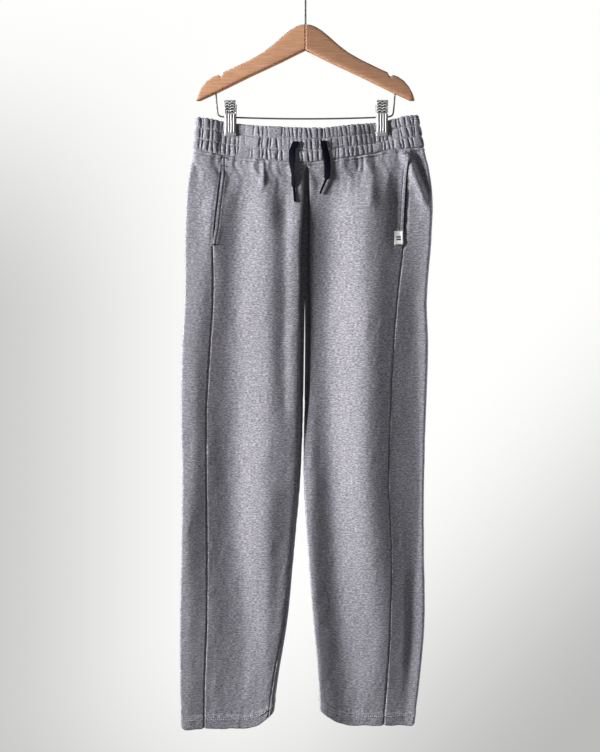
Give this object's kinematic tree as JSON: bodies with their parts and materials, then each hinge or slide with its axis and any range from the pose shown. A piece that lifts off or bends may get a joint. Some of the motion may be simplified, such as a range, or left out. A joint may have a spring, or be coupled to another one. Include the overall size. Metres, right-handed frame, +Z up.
{
  "type": "jogger sweatpants on clip hanger",
  "caption": "Fleece sweatpants with gathered elastic waistband, drawcord, slit pockets and open straight hems, hung from the clips of a wooden hanger.",
  "frame": {"origin": "underside of the hook's bend, where the rail bears", "axes": "+Z up along the hanging garment, +X to the right as seen from the front, front facing -Y"},
  "size_m": [0.4026, 0.0602, 1.2225],
  "materials": {
    "fleece": "matte knitted fleece, grey marl",
    "label": "matte woven, white",
    "drawcord": "matte flat braid, near-black navy",
    "cord_tip": "dark metal, satin",
    "wood": "light wood, satin lacquer",
    "steel": "bright plated steel"
  },
  "bodies": {
    "root": {"waistband": "fleece", "front_left": "fleece", "front_right": "fleece", "back_left": "fleece", "back_right": "fleece", "pocket_left": "fleece", "pocket_right": "fleece", "label": "label", "cord_left": "drawcord", "cord_right": "drawcord", "cord_tip_left": "cord_tip", "cord_tip_right": "cord_tip", "arm_left": "wood", "arm_right": "wood", "hook": "steel", "bar": "steel", "clip_left_front": "steel", "clip_left_back": "steel", "clip_left_spring": "steel", "clip_right_front": "steel", "clip_right_back": "steel", "clip_right_spring": "steel"}
  },
  "joints": []
}
